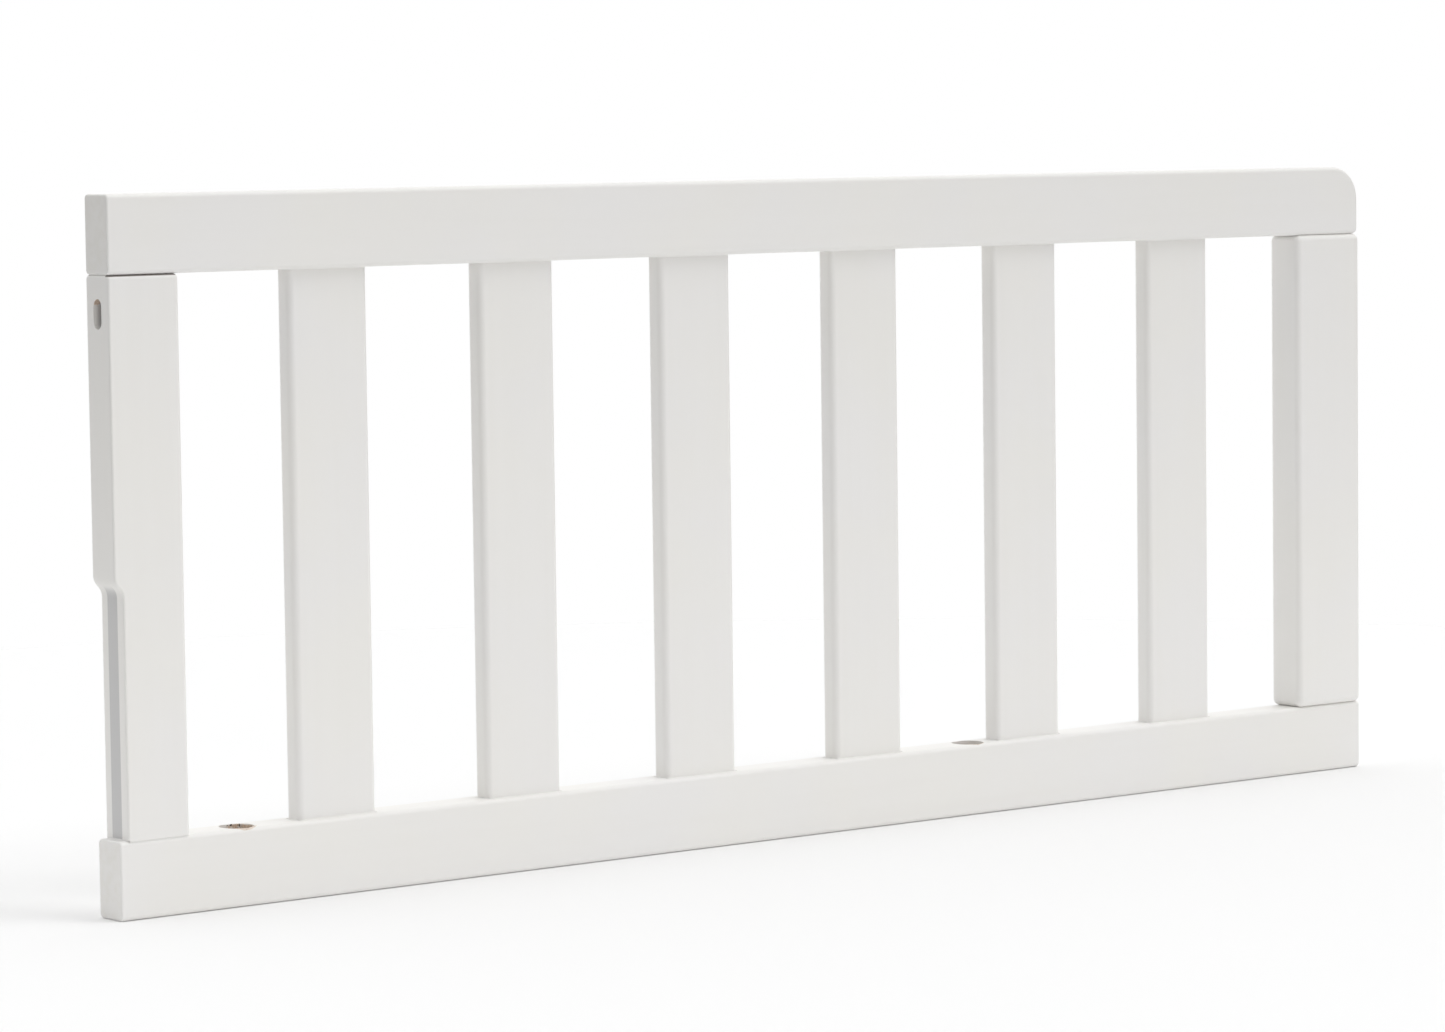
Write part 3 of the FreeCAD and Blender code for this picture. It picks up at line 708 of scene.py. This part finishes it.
def torn_rim():
    """Splintered wood at the mouth of the left bolt hole, where the drill broke out dry fibres.

    Round the bore by angle and down it by depth. The outer skin lies on the bore's wall; the inner
    one stands off it by a ragged thickness that thins to nothing downwards, and the crest is ragged.
    The splinters stand on one side of the bore: their thickness goes with the cosine of the angle
    from that side, and is next to nothing past a quarter turn from it.
    """
    axis = MOUNTS["bolt_head_seat_left"]
    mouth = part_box("bottom_rail")[1].z
    steps = 288
    angle = np.linspace(0.0, 2 * np.pi, steps, endpoint=False)[:, None]
    shares = np.linspace(0.0, 1.0, 9)[None, :]
    coarse = ripple(steps, 5, (2, 3, 5, 7, 11))[:, None]
    fine = ripple(steps, 6, (17, 29, 43, 61))[:, None]
    torn = np.clip(np.cos(angle - TORN_SIDE), 0.0, 1.0) ** 0.6
    ragged = np.clip(0.55 + 0.45 * coarse + 0.35 * fine, 0.05, 1.4) * torn
    dip = 0.06 + 0.5 * np.clip(0.5 - 0.5 * coarse - 0.5 * fine, 0.0, 1.0)
    crest = mouth - (dip + 2.6 * (1.0 - np.clip(3.0 * torn, 0.0, 1.0))) * MM
    foot = mouth - 4.2 * MM
    skin = BORE_RADIUS - 0.01 * MM
    thick = 0.02 * MM + 0.95 * MM * ragged * (1.0 - shares) ** 1.4
    twist = 0.06 * ripple(steps, 9, (3, 7, 13))[:, None] * (1.0 - shares)
    inner_angle = angle + twist
    inner = np.stack([axis.x + (skin - thick) * np.cos(inner_angle),
                      axis.y + (skin - thick) * np.sin(inner_angle),
                      crest + (foot - crest) * shares], axis=-1)
    outer = np.stack(np.broadcast_arrays(axis.x + skin * np.cos(angle), axis.y + skin * np.sin(angle),
                                         crest + (foot - crest) * shares), axis=-1)
    return np.concatenate([inner, outer[:, ::-1]], axis=1)


def dress_details():
    """The small pieces of paint and torn wood that only the looks have."""
    slat_beads()
    foot_paint = painted_board("paint_stile_foot", "left_stile", ALONG_X, 31.0)
    add_piece("paint_bead_left_stile", stile_beads(), foot_paint, ring=False)
    splinters = splintered_wood("splintered_wood")
    add_piece("torn_rim_left", [torn_rim()], splinters, smooth=False)


# ---------------------------------------------------------------- studio

def studio_floor():
    """A round table top: rings at even steps of radius, at a hair under the panel's foot."""
    rings, spokes = 12, 180
    radius = np.linspace(0.0, FLOOR_RADIUS, rings + 1)
    turn = np.linspace(0.0, 2 * np.pi, spokes, endpoint=False)
    grid_radius, grid_turn = np.meshgrid(radius, turn, indexing="ij")
    points = np.stack([grid_radius * np.cos(grid_turn), grid_radius * np.sin(grid_turn),
                       np.full_like(grid_radius, cad_box[0][2] - 0.05 * MM)], axis=-1).reshape(-1, 3)
    faces = grid_faces(rings + 1, spokes, ring=False)[:, ::-1]
    mesh = bpy.data.meshes.new("studio_floor")
    mesh.from_pydata(points.tolist(), [], faces.tolist())
    floor = bpy.data.objects.new("studio_floor", mesh)
    bpy.context.scene.collection.objects.link(floor)
    mesh.materials.append(floor_paper())


def floor_paper():
    """Matt white paper with a slow drift in its whiteness."""
    material, tree, shader, where = new_material("floor_paper")
    bright, dull = ((level, level, level, 1.0) for level in (FLOOR_WHITE, FLOOR_WHITE * 0.99))
    feed(tree, shader.inputs["Base Color"], mix_colours(tree, noise(tree, where, 3.0), bright, dull))
    shader.inputs["Roughness"].default_value = 0.9
    shader.inputs["Specular IOR Level"].default_value = 0.1
    return material


def surroundings():
    """White wherever the camera looks past the floor; the banks of light do the lighting."""
    world = bpy.data.worlds.new("studio")
    bpy.context.scene.world = world
    world.use_nodes = True
    tree = world.node_tree
    seen = add_node(tree, "ShaderNodeLightPath").outputs["Is Camera Ray"]
    feed(tree, tree.nodes["Background"].inputs["Strength"], seen)
    tree.nodes["Background"].inputs["Color"].default_value = (1.0, 1.0, 1.0, 1.0)


def bank_of_light(name, azimuth, elevation, spread, strength):
    """A far bank of light that fills an angle of spread degrees, so its shadows are soft.

    It stands azimuth degrees round from the front towards the plain end, elevation above the floor.
    """
    turn, rise = math.radians(azimuth), math.radians(elevation)
    toward = Vector((math.sin(turn) * math.cos(rise), -math.cos(turn) * math.cos(rise), math.sin(rise)))
    data = bpy.data.lights.new(name, "SUN")
    data.angle = math.radians(spread)
    data.energy = strength
    light = bpy.data.objects.new(name, data)
    bpy.context.scene.collection.objects.link(light)
    light.matrix_world = toward.to_track_quat("Z", "Y").to_matrix().to_4x4()


def camera():
    """A long lens, low and off the left end.

    It looks yaw degrees round from +Y towards +X and pitch degrees down, and is rolled a touch.
    """
    yaw, pitch, roll = (math.radians(angle) for angle in (38.4262, 4.4462, 0.7377))
    forward = Vector((math.sin(yaw) * math.cos(pitch), math.cos(yaw) * math.cos(pitch),
                      -math.sin(pitch)))
    level = Vector((math.cos(yaw), -math.sin(yaw), 0.0))
    up = level.cross(forward)
    right = math.cos(roll) * level - math.sin(roll) * up
    upright = math.sin(roll) * level + math.cos(roll) * up
    data = bpy.data.cameras.new("camera")
    data.lens = 126.27
    data.sensor_width = 36.0
    data.clip_end = 200.0
    view = bpy.data.objects.new("camera", data)
    bpy.context.scene.collection.objects.link(view)
    turn = Matrix((right, upright, -forward)).transposed().to_4x4()
    view.matrix_world = Matrix.Translation((-1.4476, -1.7791, 0.3246)) @ turn
    bpy.context.scene.camera = view


dress_boards()
dress_fastenings()
dress_details()
studio_floor()
surroundings()
for bank in LIGHT_BANKS:
    bank_of_light(*bank)
camera()
bpy.context.scene.view_settings.view_transform = "Standard"
